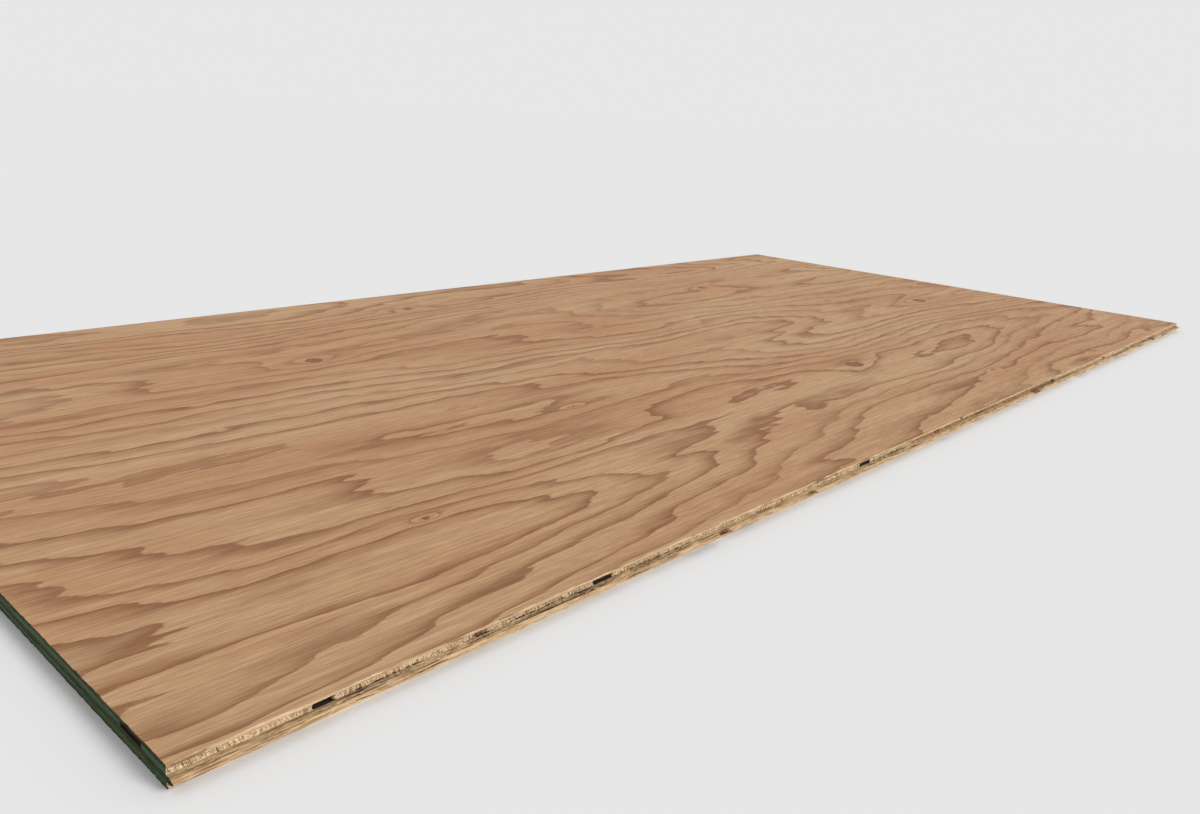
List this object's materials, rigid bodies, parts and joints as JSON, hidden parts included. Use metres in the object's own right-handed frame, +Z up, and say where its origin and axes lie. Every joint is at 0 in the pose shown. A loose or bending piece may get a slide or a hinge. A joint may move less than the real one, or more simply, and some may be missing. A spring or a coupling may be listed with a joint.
{
  "type": "plywood sheet",
  "caption": "Flat five-ply softwood plywood sheet with a tongue on one long edge, a groove on the other and sealed square-cut ends.",
  "frame": {"origin": "middle of the sheet's outline, tongue included, level with the underside of the back veneer", "axes": "+X along the sheet away from the painted end, +Y across it from the tongue edge to the groove edge, +Z up through the thickness to the face"},
  "size_m": [2.438, 1.215, 0.0183],
  "materials": {
    "long_grain_veneer": "raw rotary-cut softwood veneer",
    "crossband_veneer": "raw softwood end grain, sawn"
  },
  "bodies": {
    "root": {"face_veneer": "long_grain_veneer", "upper_crossband_1": "crossband_veneer", "upper_crossband_2": "crossband_veneer", "upper_crossband_3": "crossband_veneer", "upper_crossband_4": "crossband_veneer", "upper_crossband_5": "crossband_veneer", "centre_ply": "long_grain_veneer", "lower_crossband_1": "crossband_veneer", "lower_crossband_2": "crossband_veneer", "lower_crossband_3": "crossband_veneer", "lower_crossband_4": "crossband_veneer", "lower_crossband_5": "crossband_veneer", "back_veneer": "long_grain_veneer"}
  },
  "joints": []
}
